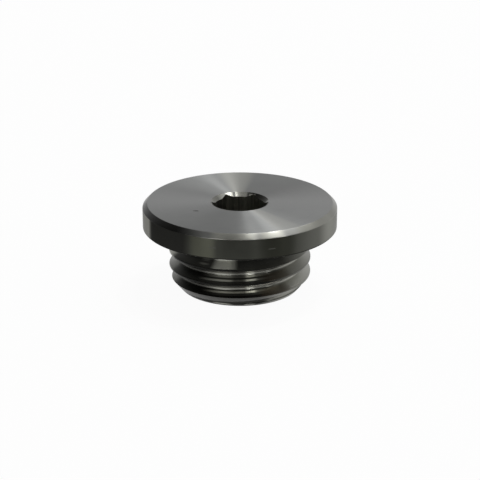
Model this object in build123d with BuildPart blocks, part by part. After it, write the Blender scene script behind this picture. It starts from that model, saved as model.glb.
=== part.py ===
"""Hexagon socket screw plug with a collar, M14 x 1.5, turned from one piece of steel.

The plug stands on its threaded end. The origin is the centre of the flat end face, and +Z points
up the axis, through the collar, to the mouth of the hexagon socket. All sizes are in millimetres.
"""

import os
from math import radians, tan

from build123d import *

# Collar
COLLAR_DIAMETER = 19.0
COLLAR_THICKNESS = 2.5
COLLAR_TOP_CHAMFER = 0.45
COLLAR_EDGE_BREAK = 0.1

# Shank, with its undercut behind the thread and its chamfered point
SHANK_LENGTH = 6.1
UNDERCUT_DIAMETER = 11.9
UNDERCUT_WIDTH = 0.9
POINT_DIAMETER = 11.75
POINT_CHAMFER_HEIGHT = 1.3

# Metric fine thread M14 x 1.5, right-hand
THREAD_MAJOR_DIAMETER = 13.94
THREAD_PITCH = 1.5
THREAD_DEPTH = 0.6134 * THREAD_PITCH
THREAD_CREST_FLAT = THREAD_PITCH / 8
THREAD_FLANK_ANGLE = 30.0
CUTTER_OVERSHOOT = 0.08
THREAD_START_HEIGHT = -0.75
THREAD_TURNS = 5

# Hexagon socket: broached over a pilot hole, with a countersunk mouth
SOCKET_ACROSS_FLATS = 4.8
SOCKET_DEPTH = 4.2
MOUTH_DIAMETER = 5.7
MOUTH_HALF_ANGLE = 45.0
PILOT_DIAMETER = 4.95
PILOT_DEPTH = 4.7
DRILL_POINT_HALF_ANGLE = 59.0

total_height = SHANK_LENGTH + COLLAR_THICKNESS
collar_radius = COLLAR_DIAMETER / 2
major_radius = THREAD_MAJOR_DIAMETER / 2
root_radius = major_radius - THREAD_DEPTH
point_radius = POINT_DIAMETER / 2
undercut_radius = UNDERCUT_DIAMETER / 2
undercut_bottom = SHANK_LENGTH - UNDERCUT_WIDTH
thread_top = undercut_bottom - (major_radius - undercut_radius)

with BuildPart() as groove_turn:
    # One turn of the thread groove, a 60 degree vee with a flat root, swept along a right-hand
    # helix. It stands a little proud of the crests.
    cutter_radius = major_radius + CUTTER_OVERSHOOT
    crest_half_gap = (THREAD_PITCH - THREAD_CREST_FLAT) / 2
    flank_slope = tan(radians(THREAD_FLANK_ANGLE))
    root_half_width = crest_half_gap - THREAD_DEPTH * flank_slope
    mouth_half_width = crest_half_gap + CUTTER_OVERSHOOT * flank_slope
    with BuildLine() as groove_helix:
        Helix(THREAD_PITCH, THREAD_PITCH, major_radius)
    with BuildSketch(Plane.XZ):
        with BuildLine():
            Polyline(
                (root_radius, -root_half_width),
                (cutter_radius, -mouth_half_width),
                (cutter_radius, mouth_half_width),
                (root_radius, root_half_width),
                close=True,
            )
        make_face()
    sweep(path=groove_helix.line, is_frenet=True)

with BuildPart() as plug_body:
    # Turned shank: flat end, chamfered point, thread length and undercut
    with BuildSketch(Plane.XZ):
        with BuildLine():
            Polyline(
                (0, 0),
                (point_radius, 0),
                (major_radius, POINT_CHAMFER_HEIGHT),
                (major_radius, thread_top),
                (undercut_radius, undercut_bottom),
                (undercut_radius, SHANK_LENGTH),
                (0, SHANK_LENGTH),
                close=True,
            )
        make_face()
    revolve(axis=Axis.Z)

    # The thread starts below the point and runs out into the undercut, turn by turn, so it is
    # cut before the collar is there
    for turn in range(THREAD_TURNS):
        with Locations((0, 0, THREAD_START_HEIGHT + turn * THREAD_PITCH)):
            add(groove_turn.part, mode=Mode.SUBTRACT)

    # Collar, with a chamfered top edge and a lightly broken lower edge
    with BuildSketch(Plane.XZ):
        with BuildLine():
            Polyline(
                (0, SHANK_LENGTH),
                (collar_radius - COLLAR_EDGE_BREAK, SHANK_LENGTH),
                (collar_radius, SHANK_LENGTH + COLLAR_EDGE_BREAK),
                (collar_radius, total_height - COLLAR_TOP_CHAMFER),
                (collar_radius - COLLAR_TOP_CHAMFER, total_height),
                (0, total_height),
                close=True,
            )
        make_face()
    revolve(axis=Axis.Z)

    # Pilot hole with its drill point, and the countersunk mouth
    pilot_radius = PILOT_DIAMETER / 2
    mouth_radius = MOUTH_DIAMETER / 2
    pilot_bottom = total_height - PILOT_DEPTH
    drill_tip = pilot_bottom - pilot_radius / tan(radians(DRILL_POINT_HALF_ANGLE))
    mouth_depth = (mouth_radius - pilot_radius) / tan(radians(MOUTH_HALF_ANGLE))
    with BuildSketch(Plane.XZ):
        with BuildLine():
            Polyline(
                (0, drill_tip),
                (pilot_radius, pilot_bottom),
                (pilot_radius, total_height - mouth_depth),
                (mouth_radius, total_height),
                (0, total_height),
                close=True,
            )
        make_face()
    revolve(axis=Axis.Z, mode=Mode.SUBTRACT)

    # Hexagon, with two corners on the X axis
    with BuildSketch(Plane.XY.offset(total_height)):
        RegularPolygon(SOCKET_ACROSS_FLATS / 2, 6, major_radius=False)
    extrude(amount=-SOCKET_DEPTH, mode=Mode.SUBTRACT)

os.makedirs("parts", exist_ok=True)
plug_body.part.label = "plug_body"
export_step(plug_body.part, "parts/plug_body.step")
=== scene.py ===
import math

import bmesh
import bpy
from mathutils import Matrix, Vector


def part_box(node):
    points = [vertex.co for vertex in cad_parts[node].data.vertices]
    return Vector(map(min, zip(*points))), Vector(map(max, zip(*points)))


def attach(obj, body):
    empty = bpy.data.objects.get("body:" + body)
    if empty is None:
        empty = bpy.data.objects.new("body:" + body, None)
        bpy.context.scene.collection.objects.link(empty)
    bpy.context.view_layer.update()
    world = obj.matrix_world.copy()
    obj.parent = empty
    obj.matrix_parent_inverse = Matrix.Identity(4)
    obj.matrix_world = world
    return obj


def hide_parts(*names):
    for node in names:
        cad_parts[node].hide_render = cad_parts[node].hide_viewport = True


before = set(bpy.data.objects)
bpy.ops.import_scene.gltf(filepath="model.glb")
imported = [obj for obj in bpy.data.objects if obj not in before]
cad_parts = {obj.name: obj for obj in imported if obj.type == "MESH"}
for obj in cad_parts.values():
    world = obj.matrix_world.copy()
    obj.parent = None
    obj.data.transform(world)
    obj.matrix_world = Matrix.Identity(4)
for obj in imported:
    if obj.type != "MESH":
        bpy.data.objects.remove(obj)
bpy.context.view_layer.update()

# ---------------------------------------------------------------------------------------------
# Sizes of the plug, in millimetres. The plug stands on its threaded end, on the floor at height 0.
# ---------------------------------------------------------------------------------------------
MM = 0.001
body_low, body_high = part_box("plug_body")
TOTAL_HEIGHT = (body_high[2] - body_low[2]) / MM
COLLAR_RADIUS = (body_high[0] - body_low[0]) / 2 / MM

COLLAR_UNDERSIDE = 6.1
COLLAR_TOP_CHAMFER = 0.45
COLLAR_EDGE_BREAK = 0.1

POINT_RADIUS = 5.875
POINT_CHAMFER_HEIGHT = 1.3
UNDERCUT_RADIUS = 5.95
UNDERCUT_BOTTOM = 5.2

THREAD_RADIUS = 6.97
THREAD_PITCH = 1.5
THREAD_DEPTH = 0.6134 * THREAD_PITCH
CREST_HALF = THREAD_PITCH / 16
FLANK_SLOPE = math.tan(math.radians(30))

SOCKET_ACROSS_FLATS = 4.8
SOCKET_DEPTH = 4.2
MOUTH_RADIUS = 2.85
PILOT_RADIUS = 2.475
PILOT_DEPTH = 4.7
DRILL_POINT_SLOPE = math.tan(math.radians(31))

# A small nick in the face, left of the socket: its centre, and its reach along X, Y and Z
NICK_PLACE = (-4.22, -2.8)
NICK_SIZE = (0.30, 0.09, 0.05)

# Small roundings of the edges
EDGE_FILLET = 0.05
LOWER_EDGE_FILLET = 0.03
UNDERCUT_FILLET = 0.12
CREST_FILLET = 0.06
ROOT_FILLET = 0.10
FILLET_STEPS = 4
HEXAGON_CORNER_EASE = 0.12
HEXAGON_CORNER_STEPS = 3

# How far a shape that cuts or joins goes past the surface that it meets
BLANK_MARGIN = 0.15
BLANK_INTO_COLLAR = 0.25
BORE_MARGIN = 0.3
ROD_LOW_END = -0.4
ROD_INTO_COLLAR = 0.5

# The thread is drawn on a longer rod, from some turns below the floor
ROD_TURNS = 8
ROD_TURNS_BELOW = 2

ROUND_STEPS = 256
THREAD_STEPS = 160
SHARP_ANGLE = math.radians(28)
MERGE_DISTANCE = 1e-7


# ---------------------------------------------------------------------------------------------
# Modelling helpers: a lathe section is a chain of points (radius, height) drawn from the axis
# ---------------------------------------------------------------------------------------------
def start_piece():
    """Leaves edit mode and selects nothing."""
    if bpy.context.object and bpy.context.object.mode != "OBJECT":
        bpy.ops.object.mode_set(mode="OBJECT")
    bpy.ops.object.select_all(action="DESELECT")


def draw_section(name, points, rounded):
    """Draws an open chain of edges in the XZ plane. rounded maps a point's index to its radius."""
    start_piece()
    bpy.ops.mesh.primitive_plane_add(size=MM, location=(0, 0, 0))
    piece = bpy.context.object
    piece.name = name
    bpy.ops.object.mode_set(mode="EDIT")
    bpy.ops.mesh.select_mode(type="VERT")
    bpy.ops.mesh.select_all(action="SELECT")
    bpy.ops.mesh.merge(type="CENTER")
    radius, height = points[0]
    bpy.ops.transform.translate(value=(radius * MM, 0, height * MM))
    for next_radius, next_height in points[1:]:
        step = ((next_radius - radius) * MM, 0, (next_height - height) * MM)
        bpy.ops.mesh.extrude_vertices_move(TRANSFORM_OT_translate={"value": step})
        radius, height = next_radius, next_height
    for index, fillet in rounded.items():
        select_points([points[index]])
        # a vertex bevel is measured along the edges that meet in the corner
        bpy.ops.mesh.bevel(offset=fillet * MM, segments=FILLET_STEPS, affect="VERTICES")
    return piece


def select_points(places):
    """Selects the points of a section that lie at the given radii and heights."""
    mesh = bmesh.from_edit_mesh(bpy.context.object.data)
    for vertex in mesh.verts:
        vertex.select = any(
            math.hypot(vertex.co.x - radius * MM, vertex.co.z - height * MM) < MERGE_DISTANCE
            for radius, height in places
        )
    mesh.select_flush_mode()
    bmesh.update_edit_mesh(bpy.context.object.data)


def close_up():
    """Joins points that coincide, turns all faces outwards and leaves edit mode."""
    bpy.ops.mesh.select_all(action="SELECT")
    bpy.ops.mesh.remove_doubles(threshold=MERGE_DISTANCE)
    bpy.ops.mesh.normals_make_consistent(inside=False)
    bpy.ops.object.mode_set(mode="OBJECT")


def spin_section(name, points, rounded):
    """Turns a section that starts and ends on the axis into a closed solid."""
    piece = draw_section(name, points, rounded)
    bpy.ops.mesh.select_all(action="SELECT")
    bpy.ops.mesh.spin(steps=ROUND_STEPS, angle=math.tau, center=(0, 0, 0), axis=(0, 0, 1))
    close_up()
    return piece


def combine(piece, tool, operation):
    """Joins a tool to a piece or cuts it away, and removes the tool."""
    cut = piece.modifiers.new("cut", "BOOLEAN")
    cut.operation = operation
    cut.object = tool
    cut.solver = "EXACT"
    start_piece()
    bpy.context.view_layer.objects.active = piece
    piece.select_set(True)
    bpy.ops.object.modifier_apply(modifier=cut.name)
    bpy.data.objects.remove(tool)


# ---------------------------------------------------------------------------------------------
# The plug
# ---------------------------------------------------------------------------------------------
def threaded_rod():
    """A rod with the M14 x 1.5 thread all along it, longer than the shank at both ends."""
    start = -ROD_TURNS_BELOW * THREAD_PITCH
    root = THREAD_RADIUS - THREAD_DEPTH
    flank = THREAD_DEPTH * FLANK_SLOPE
    section = [
        (THREAD_RADIUS, start),
        (THREAD_RADIUS, start + CREST_HALF),
        (root, start + CREST_HALF + flank),
        (root, start + THREAD_PITCH - CREST_HALF - flank),
        (THREAD_RADIUS, start + THREAD_PITCH - CREST_HALF),
        (THREAD_RADIUS, start + THREAD_PITCH),
    ]
    rounded = {1: CREST_FILLET, 2: ROOT_FILLET, 3: ROOT_FILLET, 4: CREST_FILLET}
    rod = draw_section("rod", section, rounded)
    bpy.ops.object.mode_set(mode="OBJECT")
    helix = rod.modifiers.new("helix", "SCREW")
    helix.axis = "Z"
    helix.angle = math.tau
    helix.screw_offset = THREAD_PITCH * MM
    helix.iterations = ROD_TURNS
    helix.steps = THREAD_STEPS
    helix.render_steps = THREAD_STEPS
    bpy.ops.object.modifier_apply(modifier=helix.name)
    bpy.ops.object.mode_set(mode="EDIT")
    bpy.ops.mesh.select_all(action="SELECT")
    bpy.ops.mesh.remove_doubles(threshold=MERGE_DISTANCE)
    for height, side in ((ROD_LOW_END, -1), (COLLAR_UNDERSIDE + ROD_INTO_COLLAR, 1)):
        bpy.ops.mesh.select_all(action="SELECT")
        bpy.ops.mesh.bisect(
            plane_co=(0, 0, height * MM), plane_no=(0, 0, side), use_fill=True, clear_outer=True
        )
    close_up()
    return rod


def shank_blank():
    """The turned shank before the thread: flat end, chamfered point, undercut."""
    chamfer_slope = POINT_CHAMFER_HEIGHT / (THREAD_RADIUS - POINT_RADIUS)
    outside = THREAD_RADIUS + BLANK_MARGIN
    section = [
        (0, 0),
        (POINT_RADIUS, 0),
        (outside, POINT_CHAMFER_HEIGHT + BLANK_MARGIN * chamfer_slope),
        (outside, UNDERCUT_BOTTOM - outside + UNDERCUT_RADIUS),
        (UNDERCUT_RADIUS, UNDERCUT_BOTTOM),
        (UNDERCUT_RADIUS, COLLAR_UNDERSIDE + BLANK_INTO_COLLAR),
        (0, COLLAR_UNDERSIDE + BLANK_INTO_COLLAR),
    ]
    return spin_section("blank", section, {1: EDGE_FILLET, 4: UNDERCUT_FILLET})


def collar_disc():
    """The collar, with its top chamfer and its lightly broken lower edge."""
    section = [
        (0, COLLAR_UNDERSIDE),
        (COLLAR_RADIUS - COLLAR_EDGE_BREAK, COLLAR_UNDERSIDE),
        (COLLAR_RADIUS, COLLAR_UNDERSIDE + COLLAR_EDGE_BREAK),
        (COLLAR_RADIUS, TOTAL_HEIGHT - COLLAR_TOP_CHAMFER),
        (COLLAR_RADIUS - COLLAR_TOP_CHAMFER, TOTAL_HEIGHT),
        (0, TOTAL_HEIGHT),
    ]
    rounded = {1: LOWER_EDGE_FILLET, 2: LOWER_EDGE_FILLET, 3: EDGE_FILLET, 4: EDGE_FILLET}
    return spin_section("collar", section, rounded)


def bore_tool():
    """The pilot hole with its drill point, and the countersunk mouth."""
    section = [
        (0, TOTAL_HEIGHT - PILOT_DEPTH - PILOT_RADIUS * DRILL_POINT_SLOPE),
        (PILOT_RADIUS, TOTAL_HEIGHT - PILOT_DEPTH),
        (PILOT_RADIUS, TOTAL_HEIGHT - MOUTH_RADIUS + PILOT_RADIUS),
        (MOUTH_RADIUS + BORE_MARGIN, TOTAL_HEIGHT + BORE_MARGIN),
        (0, TOTAL_HEIGHT + BORE_MARGIN),
    ]
    return spin_section("bore", section, {})


def hexagon_tool():
    """The broach: a hexagon with slightly eased corners, two of them on the X axis."""
    start_piece()
    bpy.ops.mesh.primitive_cylinder_add(
        vertices=6,
        radius=SOCKET_ACROSS_FLATS / math.sqrt(3) * MM,
        depth=(SOCKET_DEPTH + BORE_MARGIN) * MM,
        location=(0, 0, (TOTAL_HEIGHT + (BORE_MARGIN - SOCKET_DEPTH) / 2) * MM),
        rotation=(0, 0, math.radians(30)),
    )
    bpy.ops.object.transform_apply()
    hexagon = bpy.context.object
    bpy.ops.object.mode_set(mode="EDIT")
    mesh = bmesh.from_edit_mesh(hexagon.data)
    for edge in mesh.edges:
        ends = [vertex.co.z for vertex in edge.verts]
        edge.select_set(abs(ends[0] - ends[1]) > MM)
    bmesh.update_edit_mesh(hexagon.data)
    bpy.ops.mesh.bevel(offset=HEXAGON_CORNER_EASE * MM, segments=HEXAGON_CORNER_STEPS, affect="EDGES")
    bpy.ops.object.mode_set(mode="OBJECT")
    return hexagon


def nick_tool():
    """A small long dome that marks the face."""
    start_piece()
    bpy.ops.mesh.primitive_uv_sphere_add(segments=24, ring_count=12, radius=MM)
    nick = bpy.context.object
    bpy.ops.object.mode_set(mode="EDIT")
    bpy.ops.mesh.select_all(action="SELECT")
    bpy.ops.transform.resize(value=NICK_SIZE)
    bpy.ops.transform.translate(value=(NICK_PLACE[0] * MM, NICK_PLACE[1] * MM, TOTAL_HEIGHT * MM))
    bpy.ops.object.mode_set(mode="OBJECT")
    return nick


def make_plug():
    """The plug: thread cut to the shank's outline, collar added, socket and nick cut away."""
    blank = shank_blank()
    plug = threaded_rod()
    combine(plug, blank, "INTERSECT")
    combine(plug, collar_disc(), "UNION")
    combine(plug, bore_tool(), "DIFFERENCE")
    combine(plug, hexagon_tool(), "DIFFERENCE")
    combine(plug, nick_tool(), "DIFFERENCE")
    start_piece()
    bpy.context.view_layer.objects.active = plug
    plug.select_set(True)
    bpy.ops.object.mode_set(mode="EDIT")
    close_up()
    bpy.ops.object.shade_smooth_by_angle(angle=SHARP_ANGLE)
    plug.name = "turned_plug"
    return plug


# ---------------------------------------------------------------------------------------------
# Materials: turned steel, whose look depends on which way the tool ran over it, and on highlights and
# shade painted into its colour
# ---------------------------------------------------------------------------------------------
class SteelFinish:
    """A metal material with the nodes that most finishes of this plug need."""

    def __init__(self, name, roughness, anisotropy, rotation=0.25):
        self.material = bpy.data.materials.new(name)
        self.material.use_nodes = True
        self.nodes = self.material.node_tree.nodes
        self.links = self.material.node_tree.links
        self.shader = self.nodes["Principled BSDF"]
        self.shader.inputs["Metallic"].default_value = 1.0
        self.shader.inputs["Roughness"].default_value = roughness
        self.shader.inputs["Anisotropic"].default_value = anisotropy
        self.shader.inputs["Anisotropic Rotation"].default_value = rotation
        tangent = self.nodes.new("ShaderNodeTangent")
        tangent.direction_type = "RADIAL"
        tangent.axis = "Z"
        self.links.new(tangent.outputs["Tangent"], self.shader.inputs["Tangent"])
        place = self.nodes.new("ShaderNodeTexCoord")
        self.place = place.outputs["Object"]
        split = self.nodes.new("ShaderNodeSeparateXYZ")
        self.links.new(self.place, split.inputs[0])
        self.x, self.y, self.z = split.outputs

    def math(self, operation, *values):
        node = self.nodes.new("ShaderNodeMath")
        node.operation = operation
        for socket, value in zip(node.inputs, values):
            if isinstance(value, (int, float)):
                socket.default_value = value
            else:
                self.links.new(value, socket)
        return node.outputs[0]

    def radius(self):
        """Distance from the plug's axis, in millimetres."""
        across = self.math("MULTIPLY", self.x, self.x)
        squares = self.math("ADD", across, self.math("MULTIPLY", self.y, self.y))
        return self.math("DIVIDE", self.math("SQRT", squares), MM)

    def height(self):
        return self.math("DIVIDE", self.z, MM)

    def turn(self):
        """Angle round the axis from the right, in turns. It starts again at the back only."""
        around = self.math("ARCTAN2", self.x, self.math("MULTIPLY", self.y, -1.0))
        return self.math("SUBTRACT", self.math("DIVIDE", around, math.tau), 0.25)

    def lines(self, position, per_mm, detail=3.0):
        """Uneven tool marks: a noise that changes with one distance only."""
        noise = self.nodes.new("ShaderNodeTexNoise")
        noise.noise_dimensions = "1D"
        noise.inputs["Detail"].default_value = detail
        noise.inputs["Scale"].default_value = per_mm
        self.links.new(position, noise.inputs["W"])
        return noise.outputs["Fac"]

    def clouds(self, per_mm, detail=2.0, upright=False):
        """Soft patches, from handling and from the film of oil, or upright streaks."""
        noise = self.nodes.new("ShaderNodeTexNoise")
        noise.inputs["Detail"].default_value = detail
        noise.inputs["Scale"].default_value = per_mm / MM
        squeeze = self.nodes.new("ShaderNodeVectorMath")
        squeeze.operation = "MULTIPLY"
        squeeze.inputs[1].default_value = (1, 1, 0 if upright else 1)
        self.links.new(self.place, squeeze.inputs[0])
        self.links.new(squeeze.outputs["Vector"], noise.inputs["Vector"])
        return noise.outputs["Fac"]

    def side(self, azimuth, half_width, core=0):
        """A soft patch down one side, by its angle round from the front towards the right.

        It is full out to the core angle on both sides, and ends at the half width.
        """
        around = math.radians(azimuth)
        length = self.math("MULTIPLY", self.radius(), MM)
        across = self.math("MULTIPLY", self.math("DIVIDE", self.x, length), math.sin(around))
        ahead = self.math("MULTIPLY", self.math("DIVIDE", self.y, length), -math.cos(around))
        facing = self.math("ADD", across, ahead)
        outer, inner = math.cos(math.radians(half_width)), math.cos(math.radians(core))
        return self.stretch(facing, outer, inner, smooth=True)

    def band(self, value, low, high, soft):
        """1 between low and high, fading to 0 over the soft width outside them."""
        rising = self.stretch(value, low - soft, low)
        return self.math("MULTIPLY", rising, self.stretch(value, high + soft, high))

    def patches(self, tone, patches):
        """Lays patches over a tone. Each is an azimuth, a half width, a core and a colour."""
        for azimuth, half_width, core, colour in patches:
            tone = self.mix(self.side(azimuth, half_width, core), tone, colour)
        return tone

    def stretch(self, value, low, high, out_low=0.0, out_high=1.0, smooth=False):
        """Maps low to out_low and high to out_high, and holds those values outside them."""
        node = self.nodes.new("ShaderNodeMapRange")
        node.interpolation_type = "SMOOTHSTEP" if smooth else "LINEAR"
        node.clamp = True
        self.links.new(value, node.inputs["Value"])
        ends = {"From Min": low, "From Max": high, "To Min": out_low, "To Max": out_high}
        for name, number in ends.items():
            node.inputs[name].default_value = number
        return node.outputs["Result"]

    def ramp(self, value, stops):
        """Colours along a value from 0 to 1, by stops of a position and a colour."""
        node = self.nodes.new("ShaderNodeValToRGB")
        bands = node.color_ramp.elements
        while len(bands) < len(stops):
            bands.new(0.5)
        for band, (position, colour) in zip(bands, stops):
            band.position = position
            band.color = (*colour, 1)
        self.links.new(value, node.inputs["Fac"])
        return node.outputs["Color"]

    def mix(self, share, first, second):
        """Goes from the first colour at a share of 0 to the second at 1."""
        node = self.nodes.new("ShaderNodeMix")
        node.data_type = "RGBA"
        ends = (node.inputs[6], node.inputs[7])
        for socket, colour in zip(ends, (first, second)):
            if isinstance(colour, tuple):
                socket.default_value = (*colour, 1)
            else:
                self.links.new(colour, socket)
        self.links.new(share, node.inputs["Factor"])
        return node.outputs[2]

    def colour(self, value):
        self.links.new(value, self.shader.inputs["Base Color"])

    def roughness(self, value):
        self.links.new(value, self.shader.inputs["Roughness"])

    def bump(self, value, depth, strength):
        """Lets tool marks catch the light, with their depth in millimetres."""
        node = self.nodes.new("ShaderNodeBump")
        node.inputs["Strength"].default_value = strength
        node.inputs["Distance"].default_value = depth * MM
        self.links.new(value, node.inputs["Height"])
        self.links.new(node.outputs["Normal"], self.shader.inputs["Normal"])


def olive(level):
    """The steel's slightly warm grey at a given level."""
    return (level, level, level * 0.9)


# Patches of painted highlight and painted shade, set by side: azimuth, half width and core in degrees, and
# colour
FACE_PATCHES = [
    (-178, 15, 4, (0.300, 0.302, 0.282)),
    (31, 11, 3, (0.250, 0.252, 0.240)),
    (-95, 50, 20, (0.178, 0.181, 0.178)),
    (105, 44, 20, (0.175, 0.177, 0.174)),
]
RIM_PATCHES = [
    (68, 40, 0, (0.125, 0.126, 0.113)),
    (82, 32, 12, (0.300, 0.302, 0.275)),
    (-82, 22, 15, olive(0.27)),
    (-48, 19, 13, (0.022, 0.022, 0.020)),
    (-21.5, 9, 3, (0.080, 0.082, 0.064)),
    (22, 13, 0, (0.028, 0.029, 0.023)),
    (180, 80, 50, olive(0.14)),
]
CHAMFER_PATCHES = [
    (-3, 16, 6, olive(0.50)),
    (19, 9, 3, olive(0.44)),
    (56, 24, 14, olive(0.235)),
    (88, 24, 14, olive(0.18)),
    (-63, 42, 22, (0.024, 0.024, 0.022)),
]
RUNOUT_PATCHES = [
    (-13, 12, 3, olive(0.42)),
    (78, 45, 0, olive(0.17)),
    (180, 85, 50, olive(0.2)),
    (-90, 26, 14, olive(0.34)),
]
POINT_PATCHES = [
    (60, 46, 15, olive(0.20)),
    (180, 80, 50, olive(0.17)),
]
COUNTERSINK_PATCHES = [
    (-95, 62, 35, olive(0.16)),
    (172, 14, 10, olive(0.85)),
    (132, 36, 27, olive(0.05)),
    (-157, 10, 5, olive(0.97)),
    (-173.5, 4, 2, olive(0.97)),
]

# The darker band along the collar's lower edge: heights above the underside where it fades
DARK_LOWER_EDGE = (0.16, 0.11)
# Two light rubs on the collar's edge: azimuth and height of each
RUBS = [(-15.5, 7.26), (18.3, 7.1)]
RUB_HALF_HEIGHT = 0.03

# The tool line round the point: its heights, and azimuth and half width of its painted highlights
POINT_LINE = (0.17, 0.27)
POINT_LINE_HIGHLIGHTS = [(-16, 11), (9, 6)]

# A painted glint at the socket's corner: where it lies, and the depths at which it starts and is full
CORNER_GLINT_SIDE = (153, 8, 5)
CORNER_GLINT_DEPTHS = (0.08, 0.12)


def turned_face():
    """The collar's top: faced on the lathe, so its marks are rings round the axis."""
    steel = SteelFinish("turned_face", roughness=0.31, anisotropy=0.96)
    rings = steel.lines(steel.radius(), per_mm=7.0)
    clouds = steel.clouds(per_mm=0.35)
    shade = steel.math("ADD", steel.math("MULTIPLY", rings, 0.5), steel.math("MULTIPLY", clouds, 0.5))
    tone = steel.ramp(shade, [(0.3, (0.186, 0.190, 0.188)), (0.7, (0.222, 0.226, 0.221))])
    # painted highlights at the back and to the front right, and painted shade at both sides
    steel.colour(steel.patches(tone, FACE_PATCHES))
    steel.roughness(steel.stretch(rings, 0.25, 0.75, out_low=0.29, out_high=0.33))
    steel.bump(rings, depth=0.004, strength=0.1)
    return steel.material


def turned_rim():
    """The collar's edge: painted darker than the face as painted shade, with patches of painted highlight
    and shade, two light rubs and a darker lower edge.
    """
    steel = SteelFinish("turned_rim", roughness=0.33, anisotropy=0.96)
    steel.shader.inputs["Specular Tint"].default_value = (0.5, 0.5, 0.5, 1)
    rings = steel.lines(steel.height(), per_mm=6.0)
    clouds = steel.clouds(per_mm=0.3)
    tone = steel.ramp(clouds, [(0.35, (0.040, 0.041, 0.035)), (0.65, (0.052, 0.053, 0.045))])
    # painted highlights on the right, at the far left and at the back, and painted shade at the front left
    # and front right
    tone = steel.patches(tone, RIM_PATCHES)
    fade_start, fade_end = DARK_LOWER_EDGE
    edge = steel.stretch(steel.height(), COLLAR_UNDERSIDE + fade_start, COLLAR_UNDERSIDE + fade_end)
    tone = steel.mix(edge, tone, olive(0.016))
    for azimuth, height in RUBS:
        low, high = height - RUB_HALF_HEIGHT, height + RUB_HALF_HEIGHT
        level = steel.band(steel.height(), low, high, soft=0.04)
        rub = steel.math("MULTIPLY", steel.side(azimuth, half_width=2.6, core=1), level)
        tone = steel.mix(rub, tone, olive(0.07))
    steel.colour(tone)
    steel.bump(rings, depth=0.004, strength=0.1)
    return steel.material


def chamfer_cut():
    """The chamfer round the collar's top edge."""
    steel = SteelFinish("chamfer_cut", roughness=0.33, anisotropy=0.95)
    rings = steel.lines(steel.height(), per_mm=9.0)
    tone = steel.ramp(rings, [(0.3, (0.270, 0.272, 0.258)), (0.7, (0.320, 0.322, 0.308))])
    # painted highlights at the front, and painted shade on the left and on the right
    steel.colour(steel.patches(tone, CHAMFER_PATCHES))
    return steel.material


def point_line_highlights(steel, tone):
    """Two painted highlights along the tool line that runs round the point."""
    line = steel.band(steel.height(), *POINT_LINE, soft=0.04)
    for azimuth, half_width in POINT_LINE_HIGHLIGHTS:
        share = steel.math("MULTIPLY", line, steel.side(azimuth, half_width, core=3))
        tone = steel.mix(share, tone, olive(0.24))
    return tone


# The thread is coloured by its climb, the height in turns above the crest that starts at the right
# at the floor. Whole numbers are crests, and every ramp runs from one crest up to the next.
# The ramps are painted shade and painted highlights: dark crests, and bright lines and grooves.
LOWEST_TURN_TOP = 2.0
POINT_CUT_TOP = 0.85
TOP_LEFT_RIDGE = 2.98
RUNOUT_START = 3.06
GLINT_CLIMB = (1.60, 1.80)
FILM_PHASE = (0.08, 0.34)
FILM_SHARE = 0.6
FILM_BROWN = (0.060, 0.048, 0.033)

# Where each look of the thread lies, most of them painted shade and painted highlights: azimuth, half
# width and core in degrees
FRONT_SIDE = (-2, 36, 14)
DIM_SIDE = (-1, 7, 2)
HIGHLIGHT_SIDE = (9.5, 5.5, 1)
SOFT_SIDE = (24, 12, 7)
RIGHT_SIDE = (72, 50, 8)
BACK_SIDE = (180, 85, 50)
FAR_LEFT_SIDE = (-90, 24, 14)
TOP_LEFT_SIDE = (-90, 26, 14)
GLINT_SIDE = (25, 17, 9)
FILM_SIDE = (31, 17, 6)
TRACE_SIDE = (66, 46, 20)
FADE_SIDE = (6, 42, 30)
FADE_GLINT_SIDE = (-13, 12, 3)

CREST_TONE = olive(0.012)
# painted shade: the grooves away from the front
SHADED_GROOVE = [
    (0.05, CREST_TONE), (0.08, olive(0.03)), (0.40, olive(0.03)),
    (0.46, olive(0.07)), (0.78, olive(0.07)), (0.86, CREST_TONE),
]
# painted light: the grooves on the right and at the back
LIT_GROOVE = [
    (0.05, olive(0.12)), (0.10, olive(0.20)), (0.40, olive(0.20)),
    (0.48, olive(0.36)), (0.80, olive(0.46)), (0.88, olive(0.10)),
]
LOWEST_LIT_GROOVE = [
    (0.05, olive(0.20)), (0.10, olive(0.26)), (0.40, olive(0.26)),
    (0.48, olive(0.40)), (0.80, olive(0.50)), (0.88, olive(0.12)),
]


def front_groove(flank, line, groove, lower):
    """The stops of a groove at the front: a painted thin highlight line on the flank, then the painted lit
    groove.
    """
    flank, line, groove, lower = olive(flank), olive(line), olive(groove), olive(lower)
    return [
        (0.05, CREST_TONE), (0.08, flank), (0.15, flank), (0.175, line), (0.225, line), (0.25, flank),
        (0.30, flank), (0.33, groove), (0.58, groove), (0.64, lower), (0.80, lower), (0.87, CREST_TONE),
    ]


FRONT_GROOVE = front_groove(flank=0.05, line=0.55, groove=0.32, lower=0.22)
DIM_GROOVE = front_groove(flank=0.04, line=0.17, groove=0.19, lower=0.16)
HIGHLIGHT_GROOVE = front_groove(flank=0.05, line=0.95, groove=0.58, lower=0.42)
SOFT_GROOVE = front_groove(flank=0.05, line=0.16, groove=0.26, lower=0.34)


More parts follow.
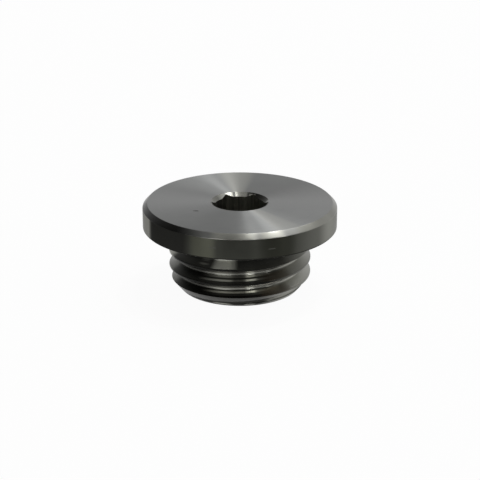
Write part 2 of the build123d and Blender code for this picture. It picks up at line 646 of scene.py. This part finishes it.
def cut_thread():
    """The thread: dark crests and upper flanks as painted shade, and painted highlights in the grooves and
    along the flanks.
    """
    steel = SteelFinish("cut_thread", roughness=0.32, anisotropy=0.9)
    climb = steel.math("SUBTRACT", steel.math("DIVIDE", steel.height(), THREAD_PITCH), steel.turn())
    phase = steel.math("FRACT", climb)
    lowest_turn = steel.math("LESS_THAN", climb, LOWEST_TURN_TOP)
    back = steel.side(*BACK_SIDE)

    # in front the painted highlight bands lie a little lower in the lowest turn, and fade to the painted
    # shade at both ends
    lift = steel.math("MULTIPLY", lowest_turn, steel.stretch(phase, 0.6, 0.7, out_low=0.115, out_high=0.0))
    front_phase = steel.math("SUBTRACT", phase, lift)
    tone = steel.ramp(front_phase, FRONT_GROOVE)
    # a painted dimmer stretch in the middle, a painted glint just right of it, and a softer painted line
    # further right
    dim = steel.math("MULTIPLY", steel.side(*DIM_SIDE), steel.math("SUBTRACT", 1.0, lowest_turn))
    tone = steel.mix(dim, tone, steel.ramp(front_phase, DIM_GROOVE))
    tone = steel.mix(steel.side(*HIGHLIGHT_SIDE), tone, steel.ramp(front_phase, HIGHLIGHT_GROOVE))
    tone = steel.mix(steel.side(*SOFT_SIDE), tone, steel.ramp(front_phase, SOFT_GROOVE))
    tone = steel.mix(steel.side(*FRONT_SIDE), steel.ramp(phase, SHADED_GROOVE), tone)

    # painted lit grooves on the right and at the back, a painted even grey at the far left, and a painted
    # highlight on the top ridge at the left
    lit_tone = steel.ramp(phase, LIT_GROOVE)
    right = steel.mix(lowest_turn, lit_tone, steel.ramp(phase, LOWEST_LIT_GROOVE))
    tone = steel.mix(steel.side(*RIGHT_SIDE), tone, right)
    tone = steel.mix(back, tone, lit_tone)
    tone = steel.mix(steel.side(*FAR_LEFT_SIDE), tone, olive(0.12))
    above_ridge = steel.math("GREATER_THAN", climb, TOP_LEFT_RIDGE)
    top_left = steel.math("MULTIPLY", steel.side(*TOP_LEFT_SIDE), above_ridge)
    tone = steel.mix(top_left, tone, olive(0.34))

    # a glint along one ridge, and a brown film of oil beside it
    ridge = steel.band(climb, *GLINT_CLIMB, soft=0.04)
    tone = steel.mix(steel.math("MULTIPLY", steel.side(*GLINT_SIDE), ridge), tone, olive(0.95))
    film = steel.math("MULTIPLY", steel.side(*FILM_SIDE), steel.band(phase, *FILM_PHASE, soft=0.05))
    tone = steel.mix(steel.math("MULTIPLY", film, FILM_SHARE), tone, FILM_BROWN)

    # where the last groove cuts into the point, except at the back: painted shade, with a painted
    # highlight on the right
    trace = steel.mix(steel.side(*TRACE_SIDE), olive(0.03), olive(0.28))
    not_back = steel.math("SUBTRACT", 1.0, back)
    point_cut = steel.math("MULTIPLY", steel.math("LESS_THAN", climb, POINT_CUT_TOP), not_back)
    tone = steel.mix(point_cut, tone, trace)
    tone = point_line_highlights(steel, tone)

    # where the last turn fades into the cone under the collar: painted shade in front, with a painted
    # highlight patch left of centre
    above = steel.math("GREATER_THAN", climb, RUNOUT_START)
    tone = steel.mix(steel.math("MULTIPLY", above, steel.side(*FADE_SIDE)), tone, olive(0.042))
    tone = steel.mix(steel.math("MULTIPLY", above, steel.side(*FADE_GLINT_SIDE)), tone, olive(0.42))
    steel.colour(tone)
    return steel.material


def runout():
    """The cone where the thread runs out under the collar: painted shade, with painted light left of the
    front, on the right, at the back and at the left.
    """
    steel = SteelFinish("runout", roughness=0.34, anisotropy=0.9)
    clouds = steel.clouds(per_mm=0.5)
    tone = steel.ramp(clouds, [(0.3, (0.030, 0.030, 0.026)), (0.7, (0.050, 0.050, 0.043))])
    steel.colour(steel.patches(tone, RUNOUT_PATCHES))
    return steel.material


def shank_end():
    """The chamfered point, with a fine tool line round the edge, painted highlights along it, and painted
    light on the right and at the back.
    """
    steel = SteelFinish("shank_end", roughness=0.36, anisotropy=0.9)
    grey, groove, edge = olive(0.052), olive(0.018), olive(0.035)
    rings = [(0.0, edge), (0.24, edge), (0.30, groove), (0.50, groove), (0.58, grey)]
    tone = steel.ramp(steel.stretch(steel.height(), 0.0, 1.0), rings)
    steel.colour(point_line_highlights(steel, steel.patches(tone, POINT_PATCHES)))
    return steel.material


def seat_face():
    """The collar's underside, faced bright as the sealing face. The flat end is faced alike."""
    steel = SteelFinish("seat_face", roughness=0.3, anisotropy=0.9)
    rings = steel.lines(steel.radius(), per_mm=7.0)
    steel.colour(steel.ramp(rings, [(0.3, (0.420, 0.422, 0.410)), (0.7, (0.500, 0.502, 0.490))]))
    steel.bump(rings, depth=0.004, strength=0.1)
    return steel.material


def drilled_bottom():
    """The cone that the drill left under the hexagon, and the ledges round it."""
    steel = SteelFinish("drilled_bottom", roughness=0.38, anisotropy=0.9)
    rings = steel.lines(steel.radius(), per_mm=9.0)
    steel.colour(steel.ramp(rings, [(0.3, olive(0.16)), (0.7, olive(0.26))]))
    steel.bump(rings, depth=0.01, strength=0.2)
    return steel.material


def broached_socket():
    """The hexagon's walls, with the broach's marks running down them."""
    steel = SteelFinish("broached_socket", roughness=0.35, anisotropy=0.5, rotation=0.0)
    marks = steel.clouds(per_mm=3.5, detail=3.0, upright=True)
    steel.colour(steel.ramp(marks, [(0.35, olive(0.24)), (0.65, olive(0.42))]))
    return steel.material


def countersink():
    """The cone at the socket's mouth, with painted glints and painted shade round it, and a painted glint
    at a corner where it meets the hexagon.
    """
    steel = SteelFinish("countersink", roughness=0.22, anisotropy=0.96)
    rings = steel.lines(steel.height(), per_mm=9.0)
    tone = steel.ramp(rings, [(0.3, (0.280, 0.282, 0.268)), (0.7, (0.340, 0.342, 0.325))])
    tone = steel.patches(tone, COUNTERSINK_PATCHES)
    start, full = CORNER_GLINT_DEPTHS
    below = steel.stretch(steel.height(), TOTAL_HEIGHT - start, TOTAL_HEIGHT - full)
    corner_glint = steel.math("MULTIPLY", steel.side(*CORNER_GLINT_SIDE), below)
    steel.colour(steel.mix(corner_glint, tone, olive(0.95)))
    return steel.material


# Limits that tell the plug's surfaces apart, in millimetres
SAME_HEIGHT = 0.01
NICK_REACH = 0.4
NICK_DEPTH = 0.1
COUNTERSINK_DEPTH = 0.6
BELOW_HEXAGON = 3
UNDERCUT_MARGIN = 0.1
RUNOUT_HEIGHT = 1.1
POINT_MARGIN = 0.08
# and by how far a surface looks up: 0 is upright, 1 is level
FLAT_RISE = 0.5
CHAMFER_RISE = 0.2
COUNTERSINK_RISE = (0.5, 0.9)
RUNOUT_RISE = math.sqrt(0.5)
RUNOUT_RISE_MARGIN = 0.06


def region(centre, normal):
    """Names the surface that a face of the plug belongs to, by its place and its normal."""
    radius = math.hypot(centre.x, centre.y) / MM
    height = centre.z / MM
    if height > TOTAL_HEIGHT - SAME_HEIGHT:
        return "face"
    if math.hypot(centre.x / MM - NICK_PLACE[0], centre.y / MM - NICK_PLACE[1]) < NICK_REACH:
        if height > TOTAL_HEIGHT - NICK_DEPTH:
            return "rim"
    if radius < MOUTH_RADIUS and height > TOTAL_HEIGHT - SOCKET_DEPTH - BELOW_HEXAGON:
        if height < TOTAL_HEIGHT - COUNTERSINK_DEPTH:
            return "bottom" if normal.z > FLAT_RISE else "socket"
        low_rise, high_rise = COUNTERSINK_RISE
        return "countersink" if low_rise < normal.z < high_rise else "socket"
    if height > COLLAR_UNDERSIDE - SAME_HEIGHT and radius > UNDERCUT_RADIUS + UNDERCUT_MARGIN / 2:
        if height < COLLAR_UNDERSIDE + SAME_HEIGHT:
            return "seat"
        return "chamfer" if normal.z > CHAMFER_RISE else "rim"
    if height > UNDERCUT_BOTTOM - UNDERCUT_MARGIN and radius < UNDERCUT_RADIUS + UNDERCUT_MARGIN:
        return "runout"
    if height > UNDERCUT_BOTTOM - RUNOUT_HEIGHT and radius > UNDERCUT_RADIUS:
        if abs(normal.z - RUNOUT_RISE) < RUNOUT_RISE_MARGIN:
            return "runout"
    if height < SAME_HEIGHT / 10:
        return "seat"
    point_edge = POINT_RADIUS + (THREAD_RADIUS - POINT_RADIUS) * height / POINT_CHAMFER_HEIGHT
    if height < POINT_CHAMFER_HEIGHT and abs(radius - point_edge) < POINT_MARGIN:
        return "end"
    return "thread"


FINISHES = {
    "face": turned_face,
    "rim": turned_rim,
    "chamfer": chamfer_cut,
    "seat": seat_face,
    "runout": runout,
    "thread": cut_thread,
    "end": shank_end,
    "socket": broached_socket,
    "countersink": countersink,
    "bottom": drilled_bottom,
}


def dress(plug):
    """Gives each face of the plug the finish of its surface."""
    plug.data.materials.clear()
    slots = {}
    for index, (name, finish) in enumerate(FINISHES.items()):
        plug.data.materials.append(finish())
        slots[name] = index
    for face in plug.data.polygons:
        face.material_index = slots[region(face.center, face.normal)]


plug = make_plug()
dress(plug)
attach(plug, "root")
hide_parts("plug_body")

# ---------------------------------------------------------------------------------------------
# Floor, light and camera
# ---------------------------------------------------------------------------------------------
FLOOR_SIZE = 2.0  # metres
FLOOR_COLOUR = 0.85
# The share of plain white in what the floor shows; the rest is lit, and keeps the shadow
FLOOR_SHARE = 0.95


def pale_floor():
    """A pale floor that shows white with a faint shadow, also in the metal."""
    material = bpy.data.materials.new("pale_floor")
    material.use_nodes = True
    nodes, links = material.node_tree.nodes, material.node_tree.links
    shader = nodes["Principled BSDF"]
    shader.inputs["Base Color"].default_value = (FLOOR_COLOUR, FLOOR_COLOUR, FLOOR_COLOUR, 1)
    shader.inputs["Roughness"].default_value = 1.0
    shader.inputs["Specular IOR Level"].default_value = 0.0
    white = nodes.new("ShaderNodeEmission")
    white.inputs["Strength"].default_value = 1.0
    # the plain white shows to the camera, in the metal and through glass
    path = nodes.new("ShaderNodeLightPath")
    seen = nodes.new("ShaderNodeMath")
    seen.operation = "MAXIMUM"
    links.new(path.outputs["Is Camera Ray"], seen.inputs[0])
    links.new(path.outputs["Is Glossy Ray"], seen.inputs[1])
    also = nodes.new("ShaderNodeMath")
    also.operation = "MAXIMUM"
    links.new(seen.outputs[0], also.inputs[0])
    links.new(path.outputs["Is Transmission Ray"], also.inputs[1])
    share = nodes.new("ShaderNodeMath")
    share.operation = "MULTIPLY"
    share.inputs[1].default_value = FLOOR_SHARE
    links.new(also.outputs[0], share.inputs[0])
    blend = nodes.new("ShaderNodeMixShader")
    links.new(share.outputs[0], blend.inputs["Fac"])
    links.new(shader.outputs["BSDF"], blend.inputs[1])
    links.new(white.outputs["Emission"], blend.inputs[2])
    links.new(blend.outputs["Shader"], nodes["Material Output"].inputs["Surface"])
    return material


start_piece()
bpy.ops.mesh.primitive_plane_add(size=FLOOR_SIZE, location=(0, 0, 0))
floor = bpy.context.object
floor.name = "studio_floor"
floor.data.materials.append(pale_floor())


def from_front(azimuth, elevation):
    """A direction, by its angle round from the front towards the right and its angle up."""
    around, up = math.radians(azimuth), math.radians(elevation)
    return Vector((math.sin(around) * math.cos(up), -math.cos(around) * math.cos(up), math.sin(up)))


# The studio is light behind and to the right, and dim in front and to the left
LIGHT_SIDE = from_front(145, 15)
STUDIO_SHADES = [(0.0, 0.03), (0.42, 0.04), (0.62, 0.5), (1.0, 0.85)]

world = bpy.data.worlds.new("studio")
bpy.context.scene.world = world
world.use_nodes = True
nodes, links = world.node_tree.nodes, world.node_tree.links
place = nodes.new("ShaderNodeTexCoord")
side = nodes.new("ShaderNodeVectorMath")
side.operation = "DOT_PRODUCT"
side.inputs[1].default_value = LIGHT_SIDE
links.new(place.outputs["Generated"], side.inputs[0])
spread = nodes.new("ShaderNodeMapRange")
spread.inputs["From Min"].default_value = -1.0
spread.inputs["From Max"].default_value = 1.0
links.new(side.outputs["Value"], spread.inputs["Value"])
shades = nodes.new("ShaderNodeValToRGB")
while len(shades.color_ramp.elements) < len(STUDIO_SHADES):
    shades.color_ramp.elements.new(0.5)
for band, (position, level) in zip(shades.color_ramp.elements, STUDIO_SHADES):
    band.position = position
    band.color = (level, level, level, 1)
links.new(spread.outputs["Result"], shades.inputs["Fac"])
links.new(shades.outputs["Color"], nodes["Background"].inputs["Color"])

# Soft lamps, all at the same distance: name, azimuth, elevation, size in metres, power in watts
LAMP_DISTANCE = 1.0
LAMPS = [
    ("overhead_near", 152.0, 77.0, 0.05, 0.9),
    ("overhead_far", 139.0, 67.0, 0.05, 1.5),
    ("overhead_soft", 130.0, 60.0, 0.70, 2.2),
    ("low_fill", -32.0, 12.0, 0.50, 1.0),
    ("front_glint", 17.0, 24.0, 0.05, 0.35),
    ("side_glint", 52.0, 20.0, 0.08, 0.45),
]
for name, azimuth, elevation, size, power in LAMPS:
    lamp_data = bpy.data.lights.new(name, "AREA")
    lamp_data.shape = "DISK"
    lamp_data.size = size
    lamp_data.energy = power
    lamp = bpy.data.objects.new(name, lamp_data)
    bpy.context.scene.collection.objects.link(lamp)
    direction = from_front(azimuth, elevation)
    lamp.location = direction * LAMP_DISTANCE
    lamp.rotation_euler = direction.to_track_quat("Z", "Y").to_euler()

# The camera: its place is given from the centre of the collar's top face, in millimetres
VIEW_ELEVATION = 19.255
VIEW_DISTANCE = 150.0
VIEW_TILT = 20.70
VIEW_SHIFT = 0.016
FOCAL_PIXELS = 1537.8
IMAGE_PIXELS = 480
SENSOR_WIDTH = 36.0

camera_data = bpy.data.cameras.new("camera")
camera_data.sensor_width = SENSOR_WIDTH
camera_data.lens = FOCAL_PIXELS / IMAGE_PIXELS * SENSOR_WIDTH
camera_data.clip_start = 0.01
camera_data.clip_end = 10.0
camera = bpy.data.objects.new("camera", camera_data)
bpy.context.scene.collection.objects.link(camera)
elevation = math.radians(VIEW_ELEVATION)
camera.location = (
    VIEW_SHIFT * MM,
    -VIEW_DISTANCE * MM * math.cos(elevation),
    (TOTAL_HEIGHT + VIEW_DISTANCE * math.sin(elevation)) * MM,
)
camera.rotation_euler = (math.radians(90 - VIEW_TILT), 0, 0)
bpy.context.scene.camera = camera

bpy.context.scene.view_settings.view_transform = "Standard"
